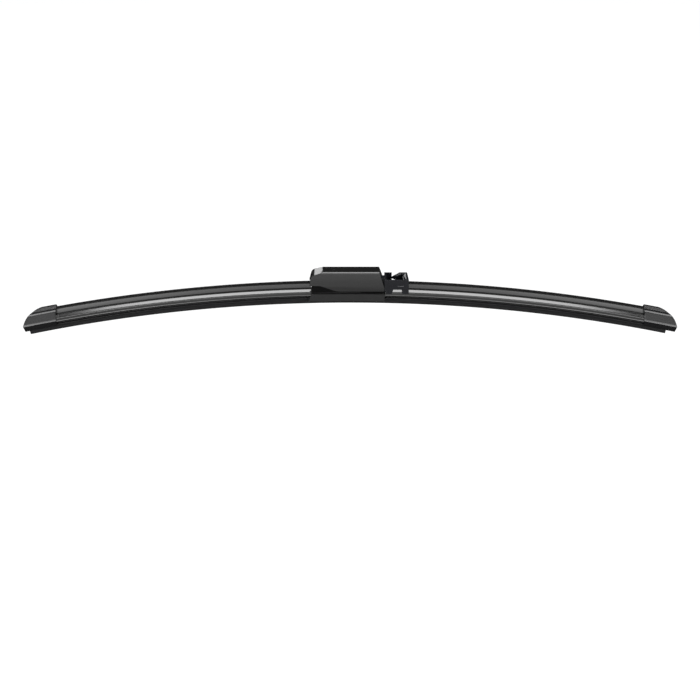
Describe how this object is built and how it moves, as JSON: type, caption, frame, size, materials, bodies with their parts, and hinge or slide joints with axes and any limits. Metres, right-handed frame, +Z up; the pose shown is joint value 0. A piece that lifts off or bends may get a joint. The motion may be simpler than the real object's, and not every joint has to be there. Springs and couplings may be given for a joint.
{
  "type": "wiper blade",
  "caption": "Arched flat wiper blade: rubber on spring strips, low spoiler, end caps, and a rocking connector with an open box that the wiper arm's head snaps round.",
  "frame": {"origin": "middle of the rocker pin, on the axis about which the blade rocks under the arm; it lies above the wiping edge at mid-blade", "axes": "+X along the blade towards the end with the arm box, +Y across the blade, +Z up, away from the glass"},
  "size_m": [0.5958, 0.02, 0.0642],
  "materials": {
    "graphited_rubber": "matt graphite-coated rubber",
    "coated_spring_steel": "black-coated spring steel",
    "spoiler_elastomer": "satin extruded elastomer",
    "cap_plastic": "fine-textured moulded plastic",
    "base_plastic": "satin moulded plastic",
    "pin_steel": "zinc-plated steel rivet",
    "adapter_plastic": "semi-gloss moulded plastic",
    "cover_plastic": "semi-gloss moulded plastic"
  },
  "bodies": {
    "rocker": {"arm_adapter": "adapter_plastic", "adapter_cover": "cover_plastic"},
    "blade": {"wiper_rubber": "graphited_rubber", "spring_strip_front": "coated_spring_steel", "spring_strip_rear": "coated_spring_steel", "spoiler_left": "spoiler_elastomer", "spoiler_right": "spoiler_elastomer", "end_cap_left": "cap_plastic", "end_cap_right": "cap_plastic", "connector_base": "base_plastic", "rocker_pin": "pin_steel"}
  },
  "joints": [
    {"name": "blade_rock", "type": "hinge", "parent": "rocker", "child": "blade", "pos_m": [0, 0, 0], "axis": [0, 1, 0], "range_deg": [-3, 9]}
  ]
}
